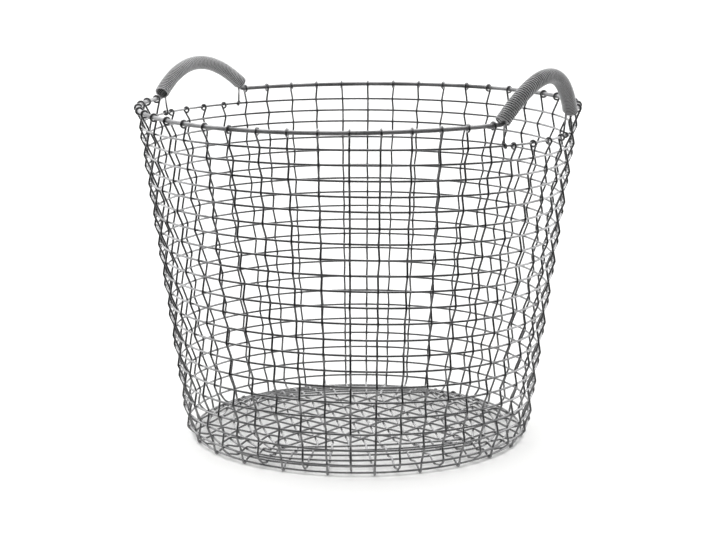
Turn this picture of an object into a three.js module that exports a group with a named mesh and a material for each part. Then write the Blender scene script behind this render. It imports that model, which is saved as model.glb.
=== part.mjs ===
// Round basket woven from steel wire, with two handles in wound grips.
// Millimetres, +Z up. The floor is z = 0, the axis of the basket is Z, and the handles lie on X.
import * as THREE from "three";

// Driving dimensions

// Rim rod: centre line and thickness
const RIM_RADIUS = 250;
const RIM_HEIGHT = 384;
const RIM_DIAMETER = 4.8;
const RIM_BUTT_GAP = 0.5;

// Wires: thickness, and the gap between wires that touch
const STAKE_DIAMETER = 2.4;
const HOOP_DIAMETER = 2.2;
const CLEARANCE = 0.3;

// Wall: hoops are counted from the top, and the first few lie closer together
const WALL_HOOPS = 21;
const CLOSE_HOOPS = 5;
const FIRST_HOOP_DROP = 18.7;
const CLOSE_PITCH = 16;
const LOWEST_HOOP_HEIGHT = 15.4;
const LOWEST_HOOP_RADIUS = 198.8;
const BOTTOM_HOOP_INSET = 7.3;

// Base: a square mesh, then rings that grow from square to round
const MESH_WIRES = 12;
const MESH_PITCH = 17.4;
const MESH_HEIGHT = 12.5;
const MESH_LEAD = 4;
const BASE_RINGS = 5;

// Handles: each was bent by hand, so they differ in rise
const HANDLE_HALF_SPAN = 74;
const HANDLE_FOOT_BEND = 4.3;
const HANDLE_TOP_INSET = 1;
const RIGHT_HANDLE_RISE = 45.5;
const LEFT_HANDLE_RISE = 33.5;
const GRIP_DIAMETER = 16;
const GRIP_CURLS = 20;
const GRIP_INSET = 7;
const TAIL_DIAMETER = 2;
const TAIL_OVERHANG = 3;

// Detail of the solids
const WIRE_SIDES = 3;
const RIM_SIDES = 6;
const GRIP_SIDES = 5;
const CURL_STEPS = 8;
const ARCH_STEPS = 12;
const REACH_PASSES = 8;
const HOOK_STEPS = 4;
const HOOK_START = THREE.MathUtils.degToRad(-25);
const HOOK_STEP = THREE.MathUtils.degToRad(55);

const UP = new THREE.Vector3(0, 0, 1);
const STAKES = 4 * MESH_WIRES;
const STAKE_STEP = (2 * Math.PI) / STAKES;

// A wire's section is the regular polygon with the area of the round wire.
// ridge reaches to a corner, flat to a side, half to a corner beside the ridge.
function section(diameter, sides) {
  const ridge = (diameter / 2) * Math.sqrt((2 * Math.PI) / (sides * Math.sin((2 * Math.PI) / sides)));
  return {
    ridge,
    flat: ridge * Math.cos(Math.PI / sides),
    half: ridge * Math.sin((2 * Math.PI) / sides),
  };
}

const stake = section(STAKE_DIAMETER, WIRE_SIDES);
const hoop = section(HOOP_DIAMETER, WIRE_SIDES);
const rim = section(RIM_DIAMETER, RIM_SIDES);

// Heights and radii of the wall hoops, straight from the rim to the lowest hoop
const closeHeight = RIM_HEIGHT - FIRST_HOOP_DROP - (CLOSE_HOOPS - 1) * CLOSE_PITCH;
const openPitch = (closeHeight - LOWEST_HOOP_HEIGHT) / (WALL_HOOPS - CLOSE_HOOPS);

function hoopHeight(k) {
  if (k <= CLOSE_HOOPS) {
    return RIM_HEIGHT - FIRST_HOOP_DROP - (k - 1) * CLOSE_PITCH;
  }
  return closeHeight - (k - CLOSE_HOOPS) * openPitch;
}

function hoopRadius(k) {
  const share = (hoopHeight(k) - LOWEST_HOOP_HEIGHT) / (RIM_HEIGHT - LOWEST_HOOP_HEIGHT);
  return LOWEST_HOOP_RADIUS + share * (RIM_RADIUS - LOWEST_HOOP_RADIUS);
}

// Base: the bottom hoop rests on the stakes that pass under it
const footRoom = stake.ridge + CLEARANCE;
const bottomRadius = LOWEST_HOOP_RADIUS - BOTTOM_HOOP_INSET;
const bottomHeight = stake.flat + footRoom + hoop.flat;
const meshHalf = ((MESH_WIRES - 1) / 2) * MESH_PITCH;
const leadEnd = meshHalf + MESH_LEAD;
const fanPitch = (bottomRadius - leadEnd) / (BASE_RINGS + 1);

// How far a stake's centre line stands off the wire that it passes, inside or above, and outside or below.
// A stake that passes a flat side slants, so the second reach grows with the slant.
const innerReach = stake.flat + hoop.ridge + CLEARANCE;
const smallestPitch = Math.min(CLOSE_PITCH, openPitch, fanPitch);
const wallSlope = (RIM_RADIUS - LOWEST_HOOP_RADIUS) / (RIM_HEIGHT - LOWEST_HOOP_HEIGHT);
const levelReach = footRoom + hoop.flat + hoop.half * (innerReach / smallestPitch + wallSlope);
const outerReach = levelReach / (1 - hoop.half / smallestPitch);
const meshOver = stake.flat + stake.ridge + CLEARANCE;
const meshUnder = (meshOver + (stake.half * meshOver) / MESH_PITCH) / (1 - stake.half / MESH_PITCH);

// A stake passes outside, or under, every second wire that it meets, and its neighbours the others.
const passesOutside = (n, k) => (n + k) % 2 === 1;
const stakeAngle = (n) => (n + 0.5) * STAKE_STEP;

// Handle arches: parabolas that lean out over the rim
const footAngle = Math.asin((HANDLE_HALF_SPAN + HANDLE_FOOT_BEND) / RIM_RADIUS);
const hookMargin = (stake.half + CLEARANCE) / RIM_RADIUS;
const archBase = Math.sqrt(RIM_RADIUS ** 2 - HANDLE_HALF_SPAN ** 2);
const archReach = RIM_RADIUS - HANDLE_TOP_INSET - archBase;
const gripHalfSpan = HANDLE_HALF_SPAN - GRIP_INSET;

function handleOffset(angle) {
  const turn = Math.abs(Math.atan2(Math.sin(angle), Math.cos(angle)));
  return Math.min(turn, Math.PI - turn);
}

const isUnderHandle = (n) => handleOffset(stakeAngle(n)) < footAngle + hookMargin;

function archPoint(y, rise) {
  const share = 1 - (y / HANDLE_HALF_SPAN) ** 2;
  return new THREE.Vector3(archBase + archReach * share, y, RIM_HEIGHT + rise * share);
}

// A path of straight runs whose section keeps its thickness at every bend.
// sides holds, for each point, the level direction across the wire, and scales its thickness.
class WirePath extends THREE.Curve {
  constructor(points, sides, scales) {
    super();
    this.points = points;
    this.sides = sides;
    this.scales = scales;
  }

  getPoint(t) {
    return this.points[Math.round(t * (this.points.length - 1))];
  }

  getSpacedPoints() {
    return this.points;
  }

  computeFrenetFrames() {
    const last = this.points.length - 1;
    const heading = (i) => this.points[i + 1].clone().sub(this.points[i]).normalize();
    const tangents = [];
    const normals = [];
    const binormals = [];
    this.points.forEach((point, i) => {
      const before = heading(Math.max(i - 1, 0));
      const after = heading(Math.min(i, last - 1));
      const tangent = before.add(after).normalize();
      const normal = tangent.clone().cross(this.sides[i]).normalize();
      const binormal = tangent.clone().cross(normal);
      const scale = this.scales ? this.scales[i] : 1;
      tangents.push(tangent);
      normals.push(normal.multiplyScalar(scale / tangent.dot(after)));
      binormals.push(binormal.multiplyScalar(scale));
    });
    return { tangents, normals, binormals };
  }
}

// A wire swept along a path, with a ridge of its section on the side of the path's normals
function sweep(path, ridge, sides) {
  const corners = [];
  for (let i = 0; i < sides; i++) {
    const turn = (i / sides) * 2 * Math.PI;
    corners.push(new THREE.Vector2(ridge * Math.cos(turn), ridge * Math.sin(turn)));
  }
  return new THREE.ExtrudeGeometry(new THREE.Shape(corners), {
    steps: path.points.length - 1,
    extrudePath: path,
  });
}

// Stakes

const radial = (angle) => new THREE.Vector3(Math.cos(angle), Math.sin(angle), 0);
const onWall = (angle, radius, height) => radial(angle).multiplyScalar(radius).setZ(height);

// Curl round a bar, from the stake over the top of the bar, for a stake outside or inside the bar
function hookPoints(angle, barRadius, barHeight, barRidge, outside) {
  const facing = outside ? stake.ridge : stake.flat;
  const reach = (barRidge + facing + CLEARANCE) / Math.cos(HOOK_STEP / 2);
  const points = [];
  for (let i = 0; i <= HOOK_STEPS; i++) {
    const turn = HOOK_START + i * HOOK_STEP;
    const across = reach * Math.cos(turn) * (outside ? 1 : -1);
    points.push(onWall(angle, barRadius + across, barHeight + reach * Math.sin(turn)));
  }
  return points;
}

// Point of the wire of stake n at a distance from the middle of the mesh, before it fans out
function meshPoint(n, distance) {
  const quarter = Math.floor(n / MESH_WIRES);
  const ahead = radial((quarter + 0.5) * (Math.PI / 2));
  const along = radial((quarter + 1.5) * (Math.PI / 2));
  const place = ((n % MESH_WIRES) - (MESH_WIRES - 1) / 2) * MESH_PITCH;
  return ahead.multiplyScalar(distance).addScaledVector(along, place).setZ(MESH_HEIGHT);
}

// Where stake n crosses base ring j: the last ring is the bottom hoop, and 0 is where the fan starts.
// The base is domed, so the rings rise towards the mesh.
function fanPoint(n, j) {
  const share = j / (BASE_RINGS + 1);
  const point = meshPoint(n, leadEnd).lerp(onWall(stakeAngle(n), bottomRadius, 0), share);
  return point.setZ(MESH_HEIGHT - (MESH_HEIGHT - bottomHeight) * share ** 2);
}

// Stakes at the corners of the mesh meet the rings too close together to weave, and pass all on one side
const isCorner = (n) => n % MESH_WIRES === 0 || n % MESH_WIRES === MESH_WIRES - 1;

// How far stake n stands over, or under, base ring j, whose flat side is up.
// Both reaches grow with the slant of the stake, which grows with them, so they are settled by repeating.
function fanReach(n, j, heading) {
  const crossing = fanPoint(n, j);
  const after = fanPoint((n + 1) % STAKES, j).sub(crossing);
  const before = fanPoint((n + STAKES - 1) % STAKES, j).sub(crossing);
  const skews = [after, before].map((run) => Math.abs(run.dot(heading)) / run.cross(heading).length());
  const room = hoop.half + (stake.half + hoop.half) * Math.max(...skews);
  const step = fanPoint(n, j + 1).sub(crossing);
  const pitch = Math.hypot(step.x, step.y);
  const dome = Math.abs(step.z) / pitch;
  const reach = { over: 0, under: 0 };
  for (let pass = 0; pass < REACH_PASSES; pass++) {
    const slope = isCorner(n) ? dome : dome + (reach.over + reach.under) / pitch;
    const stretch = Math.hypot(1, slope);
    reach.over = stake.flat * stretch + hoop.flat + CLEARANCE + slope * room;
    reach.under = stake.ridge * stretch + hoop.ridge + CLEARANCE;
  }
  return reach;
}

// Upright stake n from its curled top down to its last base ring, as points with a level side direction
function stakeRun(n) {
  const angle = stakeAngle(n);
  const first = isUnderHandle(n) ? 1 : 0;
  const top = first
    ? hookPoints(angle, hoopRadius(1), hoopHeight(1), hoop.ridge, passesOutside(n, 1))
    : hookPoints(angle, RIM_RADIUS, RIM_HEIGHT, rim.ridge, passesOutside(n, 0));
  const points = top.reverse();
  for (let k = first + 1; k <= WALL_HOOPS; k++) {
    const reach = passesOutside(n, k) ? outerReach : -innerReach;
    points.push(onWall(angle, hoopRadius(k) + reach, hoopHeight(k)));
  }
  if (passesOutside(n, WALL_HOOPS + 1)) {
    // Foot: flat under the bottom hoop
    const corner = footRoom * Math.tan(Math.PI / 8);
    const edge = bottomRadius + hoop.half;
    points.push(onWall(angle, edge + footRoom, stake.flat + footRoom - corner));
    points.push(onWall(angle, edge + corner, stake.flat));
    points.push(onWall(angle, bottomRadius - hoop.half - corner, stake.flat));
  } else {
    const over = bottomHeight + innerReach;
    points.push(onWall(angle, LOWEST_HOOP_RADIUS + hoop.flat + footRoom, over + stake.ridge));
    points.push(onWall(angle, bottomRadius, over));
  }
  const sides = points.map(() => UP.clone().cross(radial(angle)).negate());
  for (let j = BASE_RINGS; j >= 1; j--) {
    const crossing = fanPoint(n, j);
    const heading = fanPoint(n, j - 1).sub(crossing).setZ(0).normalize();
    const reach = fanReach(n, j, heading);
    const woven = isCorner(n) ? 0 : BASE_RINGS + 1 - j;
    crossing.z += passesOutside(n, WALL_HOOPS + 1 + woven) ? -reach.under : reach.over;
    points.push(crossing);
    sides.push(UP.clone().cross(heading));
  }
  return { points, sides };
}

// Long wire from stake n across the mesh to the opposite stake; weft wires are crimped, warp wires straight
function longWire(n, crimped) {
  const opposite = (n < MESH_WIRES ? 3 : 5) * MESH_WIRES - 1 - n;
  const run = stakeRun(n);
  const back = stakeRun(opposite);
  const firstMeshWire = WALL_HOOPS + BASE_RINGS + 2;
  const crossings = [];
  for (let i = 0; i < MESH_WIRES && crimped; i++) {
    const reach = passesOutside(n, firstMeshWire + i) ? -meshUnder : meshOver;
    const crossing = meshPoint(n, meshHalf - i * MESH_PITCH);
    crossings.push(crossing.setZ(MESH_HEIGHT + reach));
  }
  const height = (crossing) => (crossing ? crossing.z : MESH_HEIGHT);
  const across = [
    meshPoint(n, leadEnd).setZ(height(crossings.at(0))),
    ...crossings,
    meshPoint(n, -leadEnd).setZ(height(crossings.at(-1))),
  ];
  const side = UP.clone().cross(meshPoint(n, -1).sub(meshPoint(n, 0)));
  run.points.push(...across, ...back.points.reverse());
  run.sides.push(...across.map(() => side));
  run.sides.push(...back.sides.reverse().map((s) => s.clone().negate()));
  return sweep(new WirePath(run.points, run.sides), stake.ridge, WIRE_SIDES);
}

// Hoops and rings

// Wall hoop k: corners lie midway between stakes, so every stake meets it at the same radius
const hoopCorner = (k) => (hoopRadius(k) * Math.cos(STAKE_STEP / 2)) / Math.cos(STAKE_STEP);

function wallHoop(k) {
  const edges = STAKES / 2;
  const ring = new THREE.TorusGeometry(hoopCorner(k), hoop.ridge, WIRE_SIDES, edges, 2 * Math.PI, Math.PI);
  return ring.translate(0, 0, hoopHeight(k));
}

// Base ring j, through its crossings with all the stakes, with its ridge at a turn from level
function baseRing(j, ridgeTurn) {
  const ring = new THREE.TorusGeometry(1, 1, WIRE_SIDES, STAKES);
  const position = ring.getAttribute("position");
  for (let c = 0; c <= WIRE_SIDES; c++) {
    const turn = ridgeTurn + (c / WIRE_SIDES) * 2 * Math.PI;
    for (let i = 0; i <= STAKES; i++) {
      const point = fanPoint(i % STAKES, j);
      const outward = radial(Math.atan2(point.y, point.x));
      point.addScaledVector(outward, hoop.ridge * Math.cos(turn));
      point.z += hoop.ridge * Math.sin(turn);
      position.setXYZ(c * (STAKES + 1) + i, point.x, point.y, point.z);
    }
  }
  return ring;
}

// Rim rod: arcs with a corner at every stake, and two handle arches, butted at the back
function rimRod() {
  const points = [];
  const arc = (from, to) => {
    const stops = Array.from({ length: STAKES }, (_, n) => stakeAngle(n));
    const between = stops.filter((angle) => angle > from + STAKE_STEP / 4 && angle < to - STAKE_STEP / 4);
    points.push(...[from, ...between, to].map((angle) => onWall(angle, RIM_RADIUS, RIM_HEIGHT)));
  };
  const arch = (rise, turn) => {
    for (let i = 0; i <= ARCH_STEPS; i++) {
      const y = (HANDLE_HALF_SPAN - HANDLE_FOOT_BEND) * ((2 * i) / ARCH_STEPS - 1);
      points.push(archPoint(y, rise).applyAxisAngle(UP, turn));
    }
  };
  const butt = RIM_BUTT_GAP / RIM_RADIUS / 2;
  arc(Math.PI / 2 + butt, Math.PI - footAngle);
  arch(LEFT_HANDLE_RISE, Math.PI);
  arc(Math.PI + footAngle, 2 * Math.PI - footAngle);
  arch(RIGHT_HANDLE_RISE, 0);
  arc(footAngle, Math.PI / 2 - butt);
  const sides = points.map((p) => radial(Math.atan2(p.y, p.x)));
  return sweep(new WirePath(points, sides), rim.ridge, RIM_SIDES);
}

// Handle grip: curls round the arch, with a thin tail at each end down to the top wall hoop
function handleGrip(rise, turn, name) {
  const lean = new THREE.Vector3(rise, 0, -archReach).normalize();
  const outside = GRIP_DIAMETER / 2;
  const shrink = Math.cos(Math.PI / CURL_STEPS);
  const reach = (outside + rim.ridge + CLEARANCE) / (1 + shrink);
  const ridge = outside - reach;
  const steps = (GRIP_CURLS + 0.5) * CURL_STEPS;
  const edgeStep = 2 * STAKE_STEP;
  const tailAngle = edgeStep * Math.round(Math.asin(gripHalfSpan / hoopRadius(1)) / edgeStep);
  const tailScale = section(TAIL_DIAMETER, GRIP_SIDES).ridge / ridge;
  const stops = Array.from({ length: 2 * ARCH_STEPS + 1 }, (_, i) => i / ARCH_STEPS - 1);
  const arch = new THREE.CatmullRomCurve3(stops.map((share) => archPoint(gripHalfSpan * share, rise)));
  const curls = [];
  for (let i = 0; i <= steps; i++) {
    const along = arch.getTangentAt(i / steps);
    const across = lean.clone().cross(along).normalize();
    const phase = Math.PI / 2 + (i / CURL_STEPS) * 2 * Math.PI;
    const point = arch.getPointAt(i / steps).addScaledVector(across, -reach * Math.cos(phase));
    curls.push(point.addScaledVector(lean, reach * Math.sin(phase)));
  }
  reportLeastGap(name, curls, 2 * ridge);
  const tail = (sign, outer) => {
    const stand = ridge * tailScale + CLEARANCE;
    const radius = hoopCorner(1) + (outer ? hoop.flat + stand : -hoop.ridge - stand);
    const heights = [hoopHeight(1) + hoop.half + TAIL_OVERHANG, hoopHeight(1) - TAIL_OVERHANG];
    return heights.map((height) => onWall(sign * tailAngle, radius, height));
  };
  const start = tail(-1, true).reverse();
  const points = [...start, ...curls, ...tail(1, false)];
  const curlStep = (i) => i - start.length;
  const scales = points.map((_, i) => (curlStep(i) > 0 && curlStep(i) < steps ? 1 : tailScale));
  const sides = points.map((p, i) => {
    const next = points[Math.min(i + 1, points.length - 1)];
    const before = points[Math.max(i - 1, 0)];
    const centre = arch.getPointAt(THREE.MathUtils.clamp(curlStep(i) / steps, 0, 1));
    return next.clone().sub(before).cross(p.clone().sub(centre)).normalize();
  });
  return sweep(new WirePath(points, sides, scales), ridge, GRIP_SIDES).rotateZ(turn);
}

// Least gap of a winding to itself, between points at least half a curl apart
function reportLeastGap(name, points, thickness) {
  let least = Infinity;
  points.forEach((p, i) => {
    for (let j = i + CURL_STEPS / 2 + 1; j < points.length; j++) {
      least = Math.min(least, p.distanceTo(points[j]) - thickness);
    }
  });
  console.log(name + " least gap to itself " + least.toFixed(2) + " mm");
}

// Assembly

const basket = new THREE.Group();
const wireSteel = { color: 0x8b8e91, roughness: 0.35, metalness: 1 };
const rodSteel = { color: 0x85878a, roughness: 0.4, metalness: 1 };
const gripSteel = { color: 0xa3a5a7, roughness: 0.45, metalness: 1 };

function add(name, geometry, finish) {
  const mesh = new THREE.Mesh(geometry, new THREE.MeshStandardMaterial(finish));
  mesh.name = name;
  basket.add(mesh);
}

const number = (i) => String(i).padStart(2, "0");
for (let i = 0; i < MESH_WIRES; i++) {
  add("weft_wire_" + number(i + 1), longWire(i, true), wireSteel);
  add("warp_wire_" + number(i + 1), longWire(MESH_WIRES + i, false), wireSteel);
}
for (let k = 1; k <= WALL_HOOPS; k++) {
  add("wall_hoop_" + number(k), wallHoop(k), wireSteel);
}
add("bottom_hoop", baseRing(BASE_RINGS + 1, Math.PI / 2), wireSteel);
for (let j = BASE_RINGS; j >= 1; j--) {
  add("base_ring_" + (BASE_RINGS + 1 - j), baseRing(j, -Math.PI / 2), wireSteel);
}
add("rim_rod", rimRod(), rodSteel);
add("handle_grip_right", handleGrip(RIGHT_HANDLE_RISE, 0, "handle_grip_right"), gripSteel);
add("handle_grip_left", handleGrip(LEFT_HANDLE_RISE, Math.PI, "handle_grip_left"), gripSteel);

export default basket;
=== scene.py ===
"""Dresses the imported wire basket: round bent wires, a rim rod with two wound handles, and a small studio."""

import math
import random

import bmesh
import bpy
from bpy.props import FloatProperty, PointerProperty, StringProperty
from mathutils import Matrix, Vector


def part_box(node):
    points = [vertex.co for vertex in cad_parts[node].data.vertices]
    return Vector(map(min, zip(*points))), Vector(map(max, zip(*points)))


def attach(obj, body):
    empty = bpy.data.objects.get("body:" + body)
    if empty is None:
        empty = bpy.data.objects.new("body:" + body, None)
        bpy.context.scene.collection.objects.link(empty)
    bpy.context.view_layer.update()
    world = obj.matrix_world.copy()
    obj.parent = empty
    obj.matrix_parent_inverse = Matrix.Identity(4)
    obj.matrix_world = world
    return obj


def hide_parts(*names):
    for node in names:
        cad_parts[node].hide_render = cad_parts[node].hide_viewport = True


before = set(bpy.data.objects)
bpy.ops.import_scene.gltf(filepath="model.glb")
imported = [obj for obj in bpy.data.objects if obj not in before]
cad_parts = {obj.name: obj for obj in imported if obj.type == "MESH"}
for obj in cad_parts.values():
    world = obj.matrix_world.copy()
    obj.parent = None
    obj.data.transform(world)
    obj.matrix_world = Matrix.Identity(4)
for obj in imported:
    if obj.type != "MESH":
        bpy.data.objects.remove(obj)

bl_info = {
    "name": "Woven Wire Basket",
    "version": (1, 0, 0),
    "blender": (4, 5, 0),
    "location": "3D View > Sidebar > Basket",
    "description": "Bends the wires of a round basket around its packed solids",
    "category": "Add Mesh",
}

MM = 0.001
UP = Vector((0, 0, 1))
BODY = "root"

# Counts of the weave
WALL_HOOPS = 21
BASE_RINGS = 5
MESH_WIRES = 12
STAKES = 4 * MESH_WIRES
STAKE_STEP = 2 * math.pi / STAKES
BOTTOM = WALL_HOOPS + 1

# Heights of the wall hoops, read from the frame; 0 is the rim
HOOP_HEIGHTS = {k: sum(corner.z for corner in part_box(f"wall_hoop_{k:02d}")) / 2 for k in range(1, BOTTOM)}

# Bends of the wire: angles round a bar, from the outer side towards the top
OUTER_START = math.radians(-25)
INNER_START = math.radians(190)
HOOK_SWEEP = math.radians(305)
HOOK_SLACK = 0.3 * MM
LOOP_SLACK = 0.8 * MM
HOOK_SPREAD = math.radians(10)
HOOK_SIDE = 0.45
HOOK_HOOPS = 3
FOOT_START = math.radians(-10)
FOOT_SWEEP = math.radians(-150)
CURL_STEP = math.radians(55)
FAN_ARM = 0.2
LEAD_ARM = 1 * MM

# The hoops dip under the right handle, where the rim doesn't hold them, and sag at the back
DIP_DEPTH = 7.6 * MM
DIP_WIDTH = math.radians(35)
DIP_MEAN = 0.24
DIP_TOP = 0.5
DIP_GROWTH = 0.07
DIP_FOOT = 6
BACK_SAG = 2.2 * MM
LOW_SIDE = math.radians(160)

# The top hoops were beaten down, fading out at a hoop lower down
TOP_DROP = 2.9 * MM
TOP_HOOPS = 10
TOP_FADE = 2.5

# The rim lies a little low, askew and warped: depth of each wave round it, and the side where it is low
RIM_STEP = math.radians(4)
RIM_DROP = 1.5 * MM
RIM_WAVES = {
    1: (1.81 * MM, math.radians(-166.8)),
    2: (0.83 * MM, math.radians(-61.7)),
    3: (0.55 * MM, math.radians(48.7)),
}

# The stakes crowd at the front, and the base is a little twisted
CROWD = math.radians(0.85)
CROWD_WIDTH = math.radians(29)
CROWD_MIDDLE = math.radians(-58)
CROWD_BACK = math.radians(0.35)
PULL = math.radians(0.5)
PULL_WIDTH = math.radians(22)
TWIST = math.radians(0.7)
TWIST_SIDE = math.radians(85)

# How far single hoops were beaten up or down, in millimetres, at the front and at the back
FRONT = math.radians(-38)
FRONT_FALL = 6
BACK_FALL = 2
FRONT_LIFT = {1: 2.2, 2: 1.9, 3: 1.0, 5: -0.3, 6: -0.5, 13: -0.5, 19: -1.5, 20: -2.4, 21: -1.8}
BACK_LIFT = {1: 0.6, 2: 2.6, 3: 4.8, 4: 0.8, 6: -1.0, 13: 1.2}

# How unevenly the wires were bent by hand
ANGLE_SPREAD = math.radians(0.1)
SIDE_SPREAD = 0.22 * MM
HEIGHT_SPREAD = 0.25 * MM

# Rod inside a handle: places and reach of its bends, as shares of the half span, its sag at the ends, the
# step in which its direction is measured, and the gap between its two ends at the back
ARCH_BENDS = ((-0.84, 0.06), (-0.5, 0.15), (0, 0.15), (0.5, 0.15), (0.84, 0.06))
ARCH_SAG = 3.4 * MM
ARCH_NEAR = 0.1 * MM
BUTT_GAP = 0.3 * MM

# Feet of the handles, and the tails of the winding that are hooked round the top hoop
FOOT_RUN = 1.5 * MM
FOOT_ROOM = math.radians(0.75)
HANDLE_STAKES = 4
TAIL_LEAN = math.radians(0.8)
TAIL_SWEEP = math.radians(300)
TAIL_BEND = 0.8
TAIL_ARM = 0.1

# Detail of the wires
WIRE_ROUND = 2
ROD_ROUND = 5
GRIP_ROUND = 2
BEND_STEPS = 6
HOOP_STEPS = 4
TURN_KNOTS = 8
TURN_STEPS = 4
AXIS_STEPS = 400

# Roughness of the drawn steel, and the share of bare metal on the winding wires, which have a dull skin
WIRE_ROUGH = 0.26
ROD_ROUGH = 0.72
GRIP_ROUGH = 0.76
GRIP_METAL = {"right": 0.82, "left": 0.7}

# Dull stretches along the steel, and its grain, far finer on the real wire and drawn coarse to show
STRETCH = 40 * MM
STRETCH_DETAIL = 3.0
WIRE_GRAIN = 1.1 * MM
ROD_GRAIN = 1.6 * MM
GRIP_GRAIN = 1.0 * MM
GRAIN_DETAIL = 2.0
GRAIN_DEPTH = 0.05 * MM
GRAIN_RELIEF = 0.25

# Tone of the steel: how far the grain shades it, and where it is dull, bright and glossy
GRAIN_SHADE = 0.45
GRAIN_MEAN = 0.22
TONE_STOPS = (0.3, 0.62)
GLOSS_TONES = (0.25, 0.75)
DULL_EXTRA = 0.1
GLOSS_EXTRA = 0.06

# Painted shade between the turns, where they lie near each other, reaches this far up their sides; and the
# winding's wire is darker below a height, along its tails
GAP_SHADE_REACH = 2 * MM
GAP_SHADE_EDGE = (0.45, 0.85)
TAIL_TOP = 377 * MM
TAIL_EDGE = 5 * MM
TAIL_TONE = 0.3

# Light of the room: each glow has a soft edge, between two heights or two distances to the back
ROOM_GLOW = 0.04
BEHIND = (-0.591, 0.806, 0)
GLOWS = {
    "above": ("height", -0.3, 0.05, 1.0),
    "sweep": ("behind", -0.25, 0.5, 2.0),
    "below": ("height", -0.2, -0.34, 1.0),
    "table": ("behind", 0.0, 0.5, 1.5),
    "ceiling": ("height", 0.35, 0.85, 0.42),
    "paper": ("height", -0.6, -0.9, 0.5),
}
SUN_STRENGTH = 1.68
SUN_WIDTH = math.radians(110)
SUN_TURN = (math.radians(18), math.radians(-12), 0)

# White paper: a wide floor, and its lit part near the basket, just under it, which only the wires mirror
FLOOR_RADIUS = 30
PAPER_ROUGH = 0.9
NEAR_RADIUS = 0.3
NEAR_DEPTH = 0.5 * MM
NEAR_GLOW = 0.7
SHEET_SIDES = 64

# Camera, in front of the basket and a little above its rim
CAMERA_PLACE = (1.3512, -1.8427, 0.640)
CAMERA_TURN = (math.radians(78.87), 0, math.radians(36.25))
SENSOR_WIDTH = 36
LENS = 100.8
VIEW_END = 200


class BasketSizes(bpy.types.PropertyGroup):
    """Sizes of the wires and of the basket"""

    stake: FloatProperty(
        name="Long wires", description="Thickness of the upright wires", default=2.4 * MM, unit="LENGTH"
    )
    hoop: FloatProperty(
        name="Hoops", description="Thickness of the hoops and rings", default=2.5 * MM, unit="LENGTH"
    )
    rod: FloatProperty(
        name="Rim rod", description="Thickness of the rim rod", default=4.8 * MM, unit="LENGTH"
    )
    rim_radius: FloatProperty(
        name="Rim radius", description="To the middle of the rod", default=250 * MM, unit="LENGTH"
    )
    rim_height: FloatProperty(
        name="Rim height", description="To the middle of the rod", default=384 * MM, unit="LENGTH"
    )
    foot_radius: FloatProperty(
        name="Foot radius", description="Lowest wall hoop", default=198.8 * MM, unit="LENGTH"
    )
    bottom_radius: FloatProperty(
        name="Bottom radius", description="Bottom hoop", default=191.5 * MM, unit="LENGTH"
    )
    mesh_pitch: FloatProperty(
        name="Mesh pitch", description="Gaps of the base mesh", default=17.4 * MM, unit="LENGTH"
    )
    mesh_height: FloatProperty(
        name="Mesh height", description="Base mesh over the floor", default=12.5 * MM, unit="LENGTH"
    )
    mesh_lead: FloatProperty(
        name="Mesh lead", description="Straight run past the mesh", default=4 * MM, unit="LENGTH"
    )
    bend: FloatProperty(
        name="Bend", description="Reach of a crimp along the wire", default=1.9 * MM, unit="LENGTH"
    )


class HandleSizes(bpy.types.PropertyGroup):
    """Sizes of the two handles, each bent by hand"""

    grip: FloatProperty(
        name="Grip", description="Outside of the winding", default=16.8 * MM, unit="LENGTH"
    )
    wire: FloatProperty(
        name="Winding wire", description="Its thickness", default=2.12 * MM, unit="LENGTH"
    )
    pitch: FloatProperty(
        name="Turn pitch", description="From turn to turn", default=2.52 * MM, unit="LENGTH"
    )
    plane: FloatProperty(
        name="Handle plane", description="From the axis at rim level", default=238.5 * MM, unit="LENGTH"
    )
    end_height: FloatProperty(
        name="Grip ends", description="Height over the rim", default=3 * MM, unit="LENGTH"
    )
    right_span: FloatProperty(
        name="Right half span", description="Middle to end", default=70 * MM, unit="LENGTH"
    )
    left_span: FloatProperty(
        name="Left half span", description="Middle to end", default=73.3 * MM, unit="LENGTH"
    )
    right_rise: FloatProperty(
        name="Right rise", description="Over the rim", default=46.6 * MM, unit="LENGTH"
    )
    left_rise: FloatProperty(
        name="Left rise", description="Over the rim", default=33.5 * MM, unit="LENGTH"
    )
    right_lean: FloatProperty(name="Right lean", description="Outwards, as a slope", default=0.307)
    left_lean: FloatProperty(name="Left lean", description="Outwards, as a slope", default=0.214)
    right_shift: FloatProperty(
        name="Right shift", description="Along the rim", default=-2 * MM, unit="LENGTH"
    )
    left_shift: FloatProperty(
        name="Left shift", description="Along the rim", default=-6 * MM, unit="LENGTH"
    )


class BasketFinish(bpy.types.PropertyGroup):
    """Colours of the steel and the studio, as sRGB hex values"""

    wire: StringProperty(name="Wire", description="Drawn steel wire", default="#A4A4A5")
    wire_dark: StringProperty(
        name="Wire, dull", description="Dull stretches of the wire", default="#848485"
    )
    rod: StringProperty(name="Rod", description="Rim rod", default="#E0E0E1")
    rod_dark: StringProperty(
        name="Rod, dull", description="Dull stretches of the rod", default="#B8B8B9"
    )
    right_grip: StringProperty(
        name="Right winding", description="Thin wire of the right grip", default="#D6D6D7"
    )
    right_grip_dark: StringProperty(
        name="Right winding, dull", description="Its dull turns", default="#C8C8C9"
    )
    # The left winding's colours are painted light: lighter than the right's, standing in for the light that
    # falls on the left handle
    left_grip: StringProperty(
        name="Left winding", description="Thin wire of the left grip", default="#E9E9EA"
    )
    left_grip_dark: StringProperty(
        name="Left winding, dull", description="Its dull turns", default="#DADADB"
    )
    floor: StringProperty(name="Floor", description="White paper", default="#F6F6F5")
    sky: StringProperty(name="Room", description="Light of the room", default="#FFFFFF")


# Shared by the pieces


def linear(hex_colour):
    """The linear colour of an sRGB hex value, with alpha."""
    parts = [int(hex_colour[i : i + 2], 16) / 255 for i in (1, 3, 5)]
    return [c / 12.92 if c <= 0.04045 else ((c + 0.055) / 1.055) ** 2.4 for c in parts] + [1.0]


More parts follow.
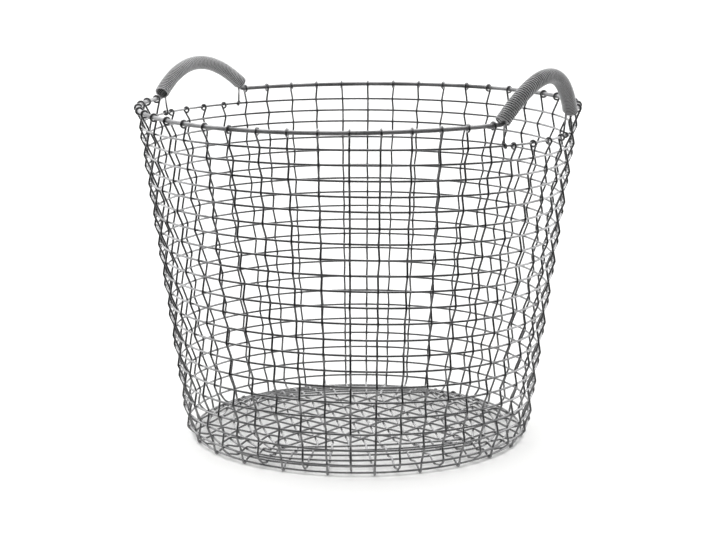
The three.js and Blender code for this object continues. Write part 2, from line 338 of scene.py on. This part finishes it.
def add_node(tree, kind, settings, inputs):
    """A new node of a kind, with its settings, and its inputs as values or as links from other sockets."""
    made = tree.nodes.new(kind)
    for name, value in settings.items():
        setattr(made, name, value)
    for name, value in inputs.items():
        if isinstance(value, bpy.types.NodeSocket):
            tree.links.new(value, made.inputs[name])
        else:
            made.inputs[name].default_value = value
    return made


def radial(angle):
    """Unit direction at an angle round the axis of the basket."""
    return Vector((math.cos(angle), math.sin(angle), 0))


def on_wall(angle, radius, height):
    """Point at an angle, radius and height."""
    return radial(angle) * radius + UP * height


def backwards(knots):
    """The same run of knots from its other end."""
    return [(point, -arm) for point, arm in reversed(knots)]


def arc_arm(step, radius):
    """Length of a knot's arm on a round bend, where the next knot is a step of angle away."""
    return 4 / 3 * math.tan(step / 4) * radius


def curl(centre, outward, radius, start, sweep, side_step):
    """Knots of a wire that curls round a bar, from an angle through a sweep, stepping along the bar."""
    steps = math.ceil(abs(sweep) / CURL_STEP)
    step = sweep / steps
    reach = arc_arm(step, radius)
    side = UP.cross(outward)
    knots = []
    for i in range(steps + 1):
        turn = start + i * step
        share = i / steps
        point = centre + radius * (math.cos(turn) * outward + math.sin(turn) * UP)
        heading = math.cos(turn) * UP - math.sin(turn) * outward
        ease = share * share * (3 - 2 * share)
        knots.append((point + side * side_step * ease, heading * reach))
    return knots


def bend_wire(name, knots, diameter, roundness, steps, closed=False):
    """A round wire of a given thickness along knots, each a point and the arm of its bend."""
    curve = bpy.data.curves.new(name, "CURVE")
    curve.dimensions = "3D"
    curve.bevel_depth = diameter / 2
    curve.bevel_resolution = roundness
    curve.resolution_u = steps
    curve.use_fill_caps = not closed
    spline = curve.splines.new("BEZIER")
    spline.bezier_points.add(len(knots) - 1)
    spline.use_cyclic_u = closed
    for bend, (point, arm) in zip(spline.bezier_points, knots):
        bend.handle_left_type = bend.handle_right_type = "FREE"
        bend.co = point
        bend.handle_left = point - arm
        bend.handle_right = point + arm
    line = bpy.data.objects.new(name + "_line", curve)
    mesh = bpy.data.meshes.new_from_object(line)
    mesh.name = name
    bpy.data.objects.remove(line)
    bpy.data.curves.remove(curve)
    wire = bpy.data.objects.new(name, mesh)
    bpy.context.scene.collection.objects.link(wire)
    return wire


def place(piece, node, finish):
    """Gives a piece its finish, and sets it in the frame in place of a node."""
    piece.data.materials.clear()
    piece.data.materials.append(finish)
    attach(piece, BODY)
    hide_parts(node)


# Finishes


def drawn_steel(name, bright, dull, roughness, grain_size, metallic=1.0, wound=False):
    """Bare steel drawn through a die: grey metal with a soft gloss, duller stretches and a fine grain."""
    if name in bpy.data.materials:
        return bpy.data.materials[name]
    material = bpy.data.materials.new(name)
    material.use_nodes = True
    tree = material.node_tree
    tree.nodes.clear()
    spot = add_node(tree, "ShaderNodeTexCoord", {}, {}).outputs["Object"]
    stretch = {"Vector": spot, "Scale": 1 / STRETCH, "Detail": STRETCH_DETAIL}
    cloud = add_node(tree, "ShaderNodeTexNoise", {}, stretch).outputs["Fac"]
    fine = {"Vector": spot, "Scale": 1 / grain_size, "Detail": GRAIN_DETAIL}
    grain = add_node(tree, "ShaderNodeTexNoise", {}, fine).outputs["Fac"]
    share = {0: grain, 1: GRAIN_SHADE, 2: -GRAIN_MEAN}
    shade = add_node(tree, "ShaderNodeMath", {"operation": "MULTIPLY_ADD"}, share).outputs[0]
    tone = add_node(tree, "ShaderNodeMath", {"operation": "ADD"}, {0: cloud, 1: shade}).outputs[0]
    ramp = add_node(tree, "ShaderNodeValToRGB", {}, {"Fac": tone})
    for stop, position, colour in zip(ramp.color_ramp.elements, TONE_STOPS, (dull, bright)):
        stop.position = position
        stop.color = linear(colour)
    colour = ramp.outputs["Color"]
    if wound:
        # Painted shade darkens the colour where turns lie near each other, and the wire is darker below the
        # winding, along its tails
        close = {"Distance": GAP_SHADE_REACH}
        open_side = add_node(tree, "ShaderNodeAmbientOcclusion", {"only_local": True}, close).outputs["AO"]
        height = add_node(tree, "ShaderNodeSeparateXYZ", {}, {"Vector": spot}).outputs["Z"]
        for source, low, high, darkest in (
            (open_side, *GAP_SHADE_EDGE, 0.0),
            (height, TAIL_TOP - TAIL_EDGE, TAIL_TOP, TAIL_TONE),
        ):
            limits = {"Value": source, "From Min": low, "From Max": high, "To Min": darkest, "To Max": 1.0}
            dimming = add_node(tree, "ShaderNodeMapRange", {}, limits).outputs["Result"]
            shaded = {"Vector": colour, "Scale": dimming}
            colour = add_node(tree, "ShaderNodeVectorMath", {"operation": "SCALE"}, shaded).outputs["Vector"]
    gloss = {"Value": tone, "From Min": GLOSS_TONES[0], "From Max": GLOSS_TONES[1]}
    gloss |= {"To Min": roughness + DULL_EXTRA, "To Max": roughness - GLOSS_EXTRA}
    rough = add_node(tree, "ShaderNodeMapRange", {}, gloss).outputs["Result"]
    relief = {"Height": grain, "Strength": GRAIN_RELIEF, "Distance": GRAIN_DEPTH}
    normal = add_node(tree, "ShaderNodeBump", {}, relief).outputs["Normal"]
    surface = {"Base Color": colour, "Metallic": metallic, "Roughness": rough, "Normal": normal}
    shader = add_node(tree, "ShaderNodeBsdfPrincipled", {}, surface)
    add_node(tree, "ShaderNodeOutputMaterial", {}, {"Surface": shader.outputs["BSDF"]})
    return material


def wire_steel():
    """Finish of the long wires, hoops and rings: glossy, so they mirror a dark room with bright edges."""
    colours = bpy.context.scene.basket_finish
    return drawn_steel("drawn_steel_wire", colours.wire, colours.wire_dark, WIRE_ROUGH, WIRE_GRAIN)


def rod_steel():
    """Finish of the rim rod: duller and lighter than the wires."""
    colours = bpy.context.scene.basket_finish
    return drawn_steel("drawn_steel_rod", colours.rod, colours.rod_dark, ROD_ROUGH, ROD_GRAIN)


def grip_steel(side):
    """Finish of a winding: dull silver turns with painted shade in the gaps between them, a little brighter on
    the left handle, which is painted light.
    """
    colours = bpy.context.scene.basket_finish
    bright = getattr(colours, f"{side}_grip")
    dull = getattr(colours, f"{side}_grip_dark")
    name = f"drawn_steel_{side}_winding"
    return drawn_steel(name, bright, dull, GRIP_ROUGH, GRIP_GRAIN, GRIP_METAL[side], wound=True)


# Weave


def passes_outside(n, k):
    """Stake n passes outside, or under, every second wire that it meets, and its neighbours the others."""
    return (n + k) % 2 == 1


def stake_angle(n, drop=0):
    """Angle of stake n round the basket, at a share of the way down from the rim."""
    angle = (n + 0.5) * STAKE_STEP
    off = math.remainder(angle - CROWD_MIDDLE, 2 * math.pi) / CROWD_WIDTH
    crowd = CROWD * math.exp(-(off**4)) - CROWD_BACK
    pull = PULL * math.exp(-((math.remainder(angle, 2 * math.pi) / PULL_WIDTH) ** 2))
    return angle + crowd - pull - TWIST * math.cos(2 * (angle - TWIST_SIDE)) * drop


def hoop_height(k, angle):
    """Height of wall hoop k at an angle round the basket."""
    share = min(1, DIP_TOP + DIP_GROWTH * k, (BOTTOM - k) / DIP_FOOT)
    turn = math.remainder(angle, 2 * math.pi) / DIP_WIDTH
    dip = DIP_DEPTH * (math.exp(-(turn**2) / 2) - DIP_MEAN)
    dip += BACK_SAG * ((1 + math.cos(angle - LOW_SIDE)) / 2) ** 2
    front = (1 + math.cos(angle - FRONT)) / 2
    lift = FRONT_LIFT.get(k, 0) * front**FRONT_FALL + BACK_LIFT.get(k, 0) * (1 - front) ** BACK_FALL
    drop = TOP_DROP * max(0, 1 - (k / TOP_HOOPS) ** TOP_FADE)
    return HOOP_HEIGHTS[k] + lift * MM - dip * share - drop


def rim_level(angle):
    """Height of the rim at an angle; the rod lies a little low, askew and warped."""
    low = RIM_DROP
    for waves, (depth, side) in RIM_WAVES.items():
        low += depth * math.cos(waves * (angle - side))
    return bpy.context.scene.basket_sizes.rim_height - low


def wall_radius(height):
    """Radius of the tapered wall at a height."""
    sizes = bpy.context.scene.basket_sizes
    low = HOOP_HEIGHTS[WALL_HOOPS]
    share = (height - low) / (sizes.rim_height - low)
    return sizes.foot_radius + share * (sizes.rim_radius - sizes.foot_radius)


def bottom_height():
    """Height of the bottom hoop, which lies on the stakes that pass under it."""
    sizes = bpy.context.scene.basket_sizes
    return sizes.stake + sizes.hoop / 2


def mesh_point(n, distance):
    """Point of the wire of stake n at a distance from the middle of the base mesh."""
    sizes = bpy.context.scene.basket_sizes
    quarter = n // MESH_WIRES
    ahead = radial((quarter + 0.5) * math.pi / 2)
    along = radial((quarter + 1.5) * math.pi / 2)
    place_across = (n % MESH_WIRES - (MESH_WIRES - 1) / 2) * sizes.mesh_pitch
    return ahead * distance + along * place_across + UP * sizes.mesh_height


def lead_end():
    """Distance from the middle of the mesh at which the wires start to fan out."""
    sizes = bpy.context.scene.basket_sizes
    return (MESH_WIRES - 1) / 2 * sizes.mesh_pitch + sizes.mesh_lead


def fan_point(n, j):
    """Where stake n crosses base ring j; the last ring is the bottom hoop, and the base is domed."""
    sizes = bpy.context.scene.basket_sizes
    share = j / (BASE_RINGS + 1)
    start = mesh_point(n, lead_end())
    point = start.lerp(on_wall(stake_angle(n, 1), sizes.bottom_radius, 0), share)
    point.z = sizes.mesh_height - (sizes.mesh_height - bottom_height()) * share**2
    return point


# Handles


class Handle:
    """One handle: the line of its winding, from end to end over the rim."""

    def __init__(self, side):
        sizes = bpy.context.scene.handle_sizes
        name = "right" if side > 0 else "left"
        self.side = side
        self.half = getattr(sizes, f"{name}_span")
        self.rise = getattr(sizes, f"{name}_rise")
        self.lean = getattr(sizes, f"{name}_lean")
        self.shift = getattr(sizes, f"{name}_shift")
        self.across = Vector((side, 0, -self.lean)).normalized()

    def axis(self, y):
        """Point of the winding's line at a distance along the rim."""
        sizes = bpy.context.scene.handle_sizes
        height = self.rise - (self.rise - sizes.end_height) * (y / self.half) ** 2
        rim_height = bpy.context.scene.basket_sizes.rim_height
        out = sizes.plane + self.lean * height
        return Vector((self.side * out, self.side * (y + self.shift), rim_height + height))

    def heading(self, y):
        """Direction of the winding's line."""
        return (self.axis(y + ARCH_NEAR) - self.axis(y - ARCH_NEAR)).normalized()

    def below(self, y):
        """Direction across the line, to the inside of the arch."""
        return self.heading(y).cross(self.across).normalized()

    def foot_angle(self, end):
        """Angle round the basket at which the rim rod starts to bend up, at the first or second end."""
        y = end * (self.half + FOOT_RUN) + self.shift
        return math.asin(y / bpy.context.scene.basket_sizes.rim_radius) + (0 if self.side > 0 else math.pi)


def is_under_handle(n):
    """The stakes under a handle end at the top hoop, because the rim rod isn't there."""
    return (n + HANDLE_STAKES // 2) % (STAKES // 2) < HANDLE_STAKES


def hook_angle(n):
    """Angle of the curl at the top of stake n, pushed aside where a foot of a handle is in the way."""
    angle = stake_angle(n)
    if is_under_handle(n):
        return angle
    for side in (1, -1):
        handle = Handle(side)
        first, second = handle.foot_angle(-1), handle.foot_angle(1)
        middle = (first + second) / 2
        offset = math.remainder(angle - middle, 2 * math.pi)
        limit = (second - first) / 2 + FOOT_ROOM
        if abs(offset) < limit:
            return angle + math.copysign(limit, offset) - offset
    return angle


# Long wires


def stake_knots(n, dice):
    """Knots of upright stake n, from the tip of its curl down the wall and in to the last base ring."""
    sizes = bpy.context.scene.basket_sizes
    stray = dice.gauss(0, ANGLE_SPREAD)
    touch = (sizes.stake + sizes.hoop) / 2
    first = 1 if is_under_handle(n) else 0
    top_angle = hook_angle(n)
    bar_height = hoop_height(1, top_angle) if first else rim_level(top_angle)
    bar = sizes.hoop if first else sizes.rod
    slack = LOOP_SLACK if first else HOOK_SLACK
    outside = passes_outside(n, first)
    sweep = HOOK_SWEEP + dice.gauss(0, HOOK_SPREAD)
    side_step = sizes.stake * dice.uniform(-HOOK_SIDE, HOOK_SIDE)
    hook = curl(
        on_wall(top_angle, wall_radius(bar_height), bar_height - slack),
        radial(top_angle),
        (sizes.stake + bar) / 2 + slack,
        OUTER_START if outside else INNER_START,
        sweep if outside else -sweep,
        side_step,
    )
    knots = backwards(hook)
    for k in range(first + 1, BOTTOM):
        share = max(0, 1 - (k - first) / HOOK_HOOPS)
        turn = stake_angle(n, k / BOTTOM) + stray + (top_angle - stake_angle(n)) * share
        height = hoop_height(k, turn)
        reach = touch if passes_outside(n, k) else -touch
        point = on_wall(turn, wall_radius(height) + reach, height + dice.gauss(0, HEIGHT_SPREAD))
        point += UP.cross(radial(turn)) * dice.gauss(0, SIDE_SPREAD)
        down = on_wall(turn, wall_radius(0) - wall_radius(height), -height).normalized()
        knots.append((point, down * sizes.bend))
    angle = stake_angle(n, 1) + stray
    if passes_outside(n, BOTTOM):
        hoop_middle = on_wall(angle, sizes.bottom_radius, bottom_height())
        knots += curl(hoop_middle, radial(angle), touch, FOOT_START, FOOT_SWEEP, 0)
    else:
        over = on_wall(angle, sizes.bottom_radius, bottom_height() + touch)
        knots.append((over, -radial(angle) * sizes.bend))
    for j in range(BASE_RINGS, 0, -1):
        point = fan_point(n, j)
        run = fan_point(n, j - 1) - point
        point.z += -touch if passes_outside(n, BOTTOM + BASE_RINGS + 1 - j) else touch
        knots.append((point, run * FAN_ARM))
    return knots


def long_wire_knots(n, crimped, dice):
    """Knots of the wire from stake n across the base mesh to the opposite stake."""
    sizes = bpy.context.scene.basket_sizes
    opposite = (3 if n < MESH_WIRES else 5) * MESH_WIRES - 1 - n
    half = (MESH_WIRES - 1) / 2 * sizes.mesh_pitch
    across = (mesh_point(n, -1) - mesh_point(n, 0)).normalized()
    knots = []
    for i in range(MESH_WIRES):
        point = mesh_point(n, half - i * sizes.mesh_pitch)
        if crimped:
            point.z += -sizes.stake if passes_outside(n, BOTTOM + BASE_RINGS + 1 + i) else sizes.stake
        knots.append((point, across * sizes.bend))
    first_lead = mesh_point(n, lead_end())
    first_lead.z = (sizes.mesh_height + knots[0][0].z) / 2
    last_lead = mesh_point(n, -lead_end())
    last_lead.z = (sizes.mesh_height + knots[-1][0].z) / 2
    knots = [(first_lead, across * LEAD_ARM), *knots, (last_lead, across * LEAD_ARM)]
    return stake_knots(n, dice) + knots + backwards(stake_knots(opposite, dice))


class BASKET_OT_long_wires(bpy.types.Operator):
    """Bend the long wires that run up the wall, under the basket and up again"""

    bl_idname = "basket.long_wires"
    bl_label = "Long Wires"

    def execute(self, context):
        sizes = context.scene.basket_sizes
        for i in range(MESH_WIRES):
            for family, n in (("weft", i), ("warp", MESH_WIRES + i)):
                knots = long_wire_knots(n, family == "weft", random.Random(n))
                wire = bend_wire(f"{family}_{i + 1:02d}", knots, sizes.stake, WIRE_ROUND, BEND_STEPS)
                place(wire, f"{family}_wire_{i + 1:02d}", wire_steel())
        return {"FINISHED"}


# Hoops and rings


def smooth_ring(points):
    """Knots of a closed ring, smooth through its points: an arm is a sixth of the way between neighbours."""
    following = points[1:] + points[:1]
    before = points[-1:] + points[:-1]
    return [(point, (ahead - behind) / 6) for behind, point, ahead in zip(before, points, following)]


def hoop_knots(k):
    """Knots of wall hoop k."""
    turns = [stake_angle(n) for n in range(STAKES)]
    heights = [hoop_height(k, turn) for turn in turns]
    return smooth_ring([on_wall(turn, wall_radius(height), height) for turn, height in zip(turns, heights)])


class BASKET_OT_hoops(bpy.types.Operator):
    """Roll the hoops of the wall and the bottom hoop"""

    bl_idname = "basket.hoops"
    bl_label = "Hoops"

    def execute(self, context):
        sizes = context.scene.basket_sizes
        for k in HOOP_HEIGHTS:
            hoop = bend_wire(f"hoop_{k:02d}", hoop_knots(k), sizes.hoop, WIRE_ROUND, HOOP_STEPS, closed=True)
            place(hoop, f"wall_hoop_{k:02d}", wire_steel())
        knots = smooth_ring([fan_point(n, BASE_RINGS + 1) for n in range(STAKES)])
        hoop = bend_wire("hoop_bottom", knots, sizes.hoop, WIRE_ROUND, HOOP_STEPS, closed=True)
        place(hoop, "bottom_hoop", wire_steel())
        return {"FINISHED"}


class BASKET_OT_base_rings(bpy.types.Operator):
    """Bend the rings of the base, from nearly round to nearly square"""

    bl_idname = "basket.base_rings"
    bl_label = "Base Rings"

    def execute(self, context):
        sizes = context.scene.basket_sizes
        for j in range(1, BASE_RINGS + 1):
            number = BASE_RINGS + 1 - j
            knots = smooth_ring([fan_point(n, j) for n in range(STAKES)])
            ring = bend_wire(f"ring_{number}", knots, sizes.hoop, WIRE_ROUND, HOOP_STEPS, closed=True)
            place(ring, f"base_ring_{number}", wire_steel())
        return {"FINISHED"}


# Rim rod and grips


def rim_knots(start, end):
    """Knots of an arc of the rim."""
    sizes = bpy.context.scene.basket_sizes
    steps = math.ceil((end - start) / RIM_STEP)
    step = (end - start) / steps
    reach = arc_arm(step, sizes.rim_radius)
    knots = []
    for i in range(steps + 1):
        turn = start + i * step
        knots.append((on_wall(turn, sizes.rim_radius, rim_level(turn)), UP.cross(radial(turn)) * reach))
    return knots


class BASKET_OT_rim_rod(bpy.types.Operator):
    """Bend the rim rod, with its two handle arches and its butted ends at the back"""

    bl_idname = "basket.rim_rod"
    bl_label = "Rim Rod"

    def execute(self, context):
        sizes = context.scene.basket_sizes
        right, left = Handle(1), Handle(-1)
        butt = BUTT_GAP / sizes.rim_radius
        knots = rim_knots(math.pi / 2 + butt, left.foot_angle(-1))
        knots += self.arch(left)
        knots += rim_knots(left.foot_angle(1), right.foot_angle(-1) + 2 * math.pi)
        knots += self.arch(right)
        knots += rim_knots(right.foot_angle(1), math.pi / 2 - butt)
        rod = bend_wire("rod", knots, sizes.rod, ROD_ROUND, BEND_STEPS)
        place(rod, "rim_rod", rod_steel())
        return {"FINISHED"}

    def arch(self, handle):
        """Knots of the rod inside a winding, on its lower side at the ends and in its middle at the top."""
        knots = []
        for share, reach in ARCH_BENDS:
            y = share * handle.half
            sag = handle.below(y) * ARCH_SAG * share**2
            knots.append((handle.axis(y) + sag, handle.heading(y) * handle.half * reach))
        return knots


class BASKET_OT_grips(bpy.types.Operator):
    """Wind the two grips, each one unbroken wire whose ends run down to the top hoop"""

    bl_idname = "basket.grips"
    bl_label = "Grips"

    def execute(self, context):
        sizes = context.scene.handle_sizes
        for name, side in (("right", 1), ("left", -1)):
            handle = Handle(side)
            turns = self.winding(handle)
            first_tail = self.tail(turns[0][0], -1)
            last_tail = self.tail(turns[-1][0], 1)
            knots = first_tail + turns + backwards(last_tail)
            grip = bend_wire(f"grip_{name}", knots, sizes.wire, GRIP_ROUND, TURN_STEPS)
            place(grip, f"handle_grip_{name}", grip_steel(name))
        return {"FINISHED"}

    def winding(self, handle):
        """Knots of the turns, evenly spaced along the handle."""
        sizes = bpy.context.scene.handle_sizes
        ys = [handle.half * (2 * i / AXIS_STEPS - 1) for i in range(AXIS_STEPS + 1)]
        lengths = [0.0]
        for y, following in zip(ys, ys[1:]):
            lengths.append(lengths[-1] + (handle.axis(following) - handle.axis(y)).length)
        count = round(lengths[-1] / sizes.pitch) * TURN_KNOTS
        radius = (sizes.grip - sizes.wire) / 2
        step = 2 * math.pi / TURN_KNOTS
        reach = arc_arm(step, radius)
        knots = []
        spot = 0
        for i in range(count + 1):
            length = lengths[-1] * i / count
            while spot < AXIS_STEPS - 1 and lengths[spot + 1] < length:
                spot += 1
            share = (length - lengths[spot]) / (lengths[spot + 1] - lengths[spot])
            y = ys[spot] + share * (ys[spot + 1] - ys[spot])
            below = handle.below(y)
            turn = math.pi / 2 + i * step
            out = math.cos(turn) * handle.across + math.sin(turn) * below
            heading = math.cos(turn) * below - math.sin(turn) * handle.across
            arm = heading * reach + handle.heading(y) * lengths[-1] / count / 3
            knots.append((handle.axis(y) + out * radius, arm))
        return knots

    def tail(self, end, sign):
        """Knots of a tail, from the tip of its curl on the top hoop up to the end of the winding."""
        basket = bpy.context.scene.basket_sizes
        sizes = bpy.context.scene.handle_sizes
        angle = math.atan2(end.y, end.x) - sign * TAIL_LEAN
        height = hoop_height(1, angle)
        middle = on_wall(angle, wall_radius(height), height)
        touch = (basket.hoop + sizes.wire) / 2
        hook = curl(middle, radial(angle), touch, math.pi, TAIL_SWEEP, sizes.wire * sign)
        inside = middle - radial(angle) * touch
        upper = inside.lerp(end, TAIL_BEND)
        return backwards(hook) + [(upper, (end - inside) * TAIL_ARM)]


# Studio


class BASKET_OT_studio(bpy.types.Operator):
    """Set up the white floor, the soft light and the camera"""

    bl_idname = "basket.studio"
    bl_label = "Studio"

    def execute(self, context):
        self.floor(context)
        self.light(context)
        self.camera(context)
        return {"FINISHED"}

    def floor(self, context):
        """White paper under the basket; the wires mirror only its near part, so the low ones are lighter."""
        colour = linear(context.scene.basket_finish.floor)
        matt = {"Base Color": colour, "Roughness": PAPER_ROUGH}
        wide = self.sheet("white_paper", FLOOR_RADIUS, 0, "ShaderNodeBsdfPrincipled", matt)
        wide.visible_glossy = False
        lit = {"Color": colour, "Strength": NEAR_GLOW}
        near = self.sheet("lit_paper", NEAR_RADIUS, NEAR_DEPTH, "ShaderNodeEmission", lit)
        near.visible_camera = False
        near.visible_diffuse = False
        near.visible_shadow = False

    def sheet(self, name, radius, depth, kind, look):
        """A round sheet on the stage, with a shader of that kind."""
        mesh = bpy.data.meshes.new(name)
        disc = bmesh.new()
        bmesh.ops.create_circle(disc, cap_ends=True, radius=radius, segments=SHEET_SIDES)
        bmesh.ops.translate(disc, vec=-depth * UP, verts=disc.verts)
        disc.to_mesh(mesh)
        disc.free()
        material = bpy.data.materials.new(name)
        material.use_nodes = True
        tree = material.node_tree
        tree.nodes.clear()
        shader = add_node(tree, kind, {}, look)
        add_node(tree, "ShaderNodeOutputMaterial", {}, {"Surface": shader.outputs[0]})
        mesh.materials.append(material)
        sheet = bpy.data.objects.new(name, mesh)
        bpy.context.scene.collection.objects.link(sheet)
        return sheet

    def light(self, context):
        """A dim room with a wide light overhead, a white sweep behind and white paper further off."""
        world = bpy.data.worlds.new("room")
        world.use_nodes = True
        tree = world.node_tree
        tree.nodes.clear()
        ray = add_node(tree, "ShaderNodeTexCoord", {}, {}).outputs["Generated"]
        height = add_node(tree, "ShaderNodeSeparateXYZ", {}, {"Vector": ray}).outputs["Z"]
        to_back = {0: ray, 1: BEHIND}
        behind = add_node(tree, "ShaderNodeVectorMath", {"operation": "DOT_PRODUCT"}, to_back)
        sources = {"height": height, "behind": behind.outputs["Value"]}
        glows = {}
        for name, (source, start, end, strength) in GLOWS.items():
            edge = {"Value": sources[source], "From Min": start, "From Max": end}
            edge |= {"To Min": 0.0, "To Max": strength}
            soft = {"interpolation_type": "SMOOTHSTEP"}
            glows[name] = add_node(tree, "ShaderNodeMapRange", soft, edge).outputs[0]
        for part, whole in (("above", "sweep"), ("below", "table")):
            both = {0: glows.pop(part), 1: glows[whole]}
            glows[whole] = add_node(tree, "ShaderNodeMath", {"operation": "MULTIPLY"}, both).outputs[0]
        brightest = ROOM_GLOW
        for glow in glows.values():
            either = {0: glow, 1: brightest}
            brightest = add_node(tree, "ShaderNodeMath", {"operation": "MAXIMUM"}, either).outputs[0]
        colour = linear(context.scene.basket_finish.sky)
        room = add_node(tree, "ShaderNodeBackground", {}, {"Color": colour, "Strength": brightest})
        add_node(tree, "ShaderNodeOutputWorld", {}, {"Surface": room.outputs["Background"]})
        context.scene.world = world
        sun = bpy.data.lights.new("overhead", "SUN")
        sun.energy = SUN_STRENGTH
        sun.angle = SUN_WIDTH
        lamp = bpy.data.objects.new("overhead", sun)
        lamp.rotation_euler = SUN_TURN
        lamp.visible_glossy = False
        context.scene.collection.objects.link(lamp)
        context.scene.view_settings.view_transform = "Standard"

    def camera(self, context):
        """The camera, in front of the basket and a little above its rim."""
        lens = bpy.data.cameras.new("camera")
        lens.sensor_width = SENSOR_WIDTH
        lens.lens = LENS
        lens.clip_end = VIEW_END
        camera = bpy.data.objects.new("camera", lens)
        camera.location = CAMERA_PLACE
        camera.rotation_euler = CAMERA_TURN
        context.scene.collection.objects.link(camera)
        context.scene.camera = camera


class BASKET_PT_panel(bpy.types.Panel):
    """Lists the pieces of the basket"""

    bl_idname = "BASKET_PT_panel"
    bl_label = "Wire Basket"
    bl_space_type = "VIEW_3D"
    bl_region_type = "UI"
    bl_category = "Basket"

    def draw(self, context):
        for group in (context.scene.basket_sizes, context.scene.handle_sizes, context.scene.basket_finish):
            box = self.layout.box()
            for name in group.bl_rna.properties.keys():
                if name not in ("rna_type", "name"):
                    box.prop(group, name)
        for operator in OPERATORS:
            self.layout.operator(operator.bl_idname)


OPERATORS = (
    BASKET_OT_long_wires,
    BASKET_OT_hoops,
    BASKET_OT_base_rings,
    BASKET_OT_rim_rod,
    BASKET_OT_grips,
    BASKET_OT_studio,
)
CLASSES = (BasketSizes, HandleSizes, BasketFinish, *OPERATORS, BASKET_PT_panel)


def register():
    for cls in CLASSES:
        bpy.utils.register_class(cls)
    bpy.types.Scene.basket_sizes = PointerProperty(type=BasketSizes)
    bpy.types.Scene.handle_sizes = PointerProperty(type=HandleSizes)
    bpy.types.Scene.basket_finish = PointerProperty(type=BasketFinish)


def unregister():
    del bpy.types.Scene.basket_finish
    del bpy.types.Scene.handle_sizes
    del bpy.types.Scene.basket_sizes
    for cls in reversed(CLASSES):
        bpy.utils.unregister_class(cls)


def main():
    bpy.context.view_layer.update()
    register()
    bpy.ops.basket.studio()
    bpy.ops.basket.long_wires()
    bpy.ops.basket.hoops()
    bpy.ops.basket.base_rings()
    bpy.ops.basket.rim_rod()
    bpy.ops.basket.grips()


if __name__ == "__main__":
    main()
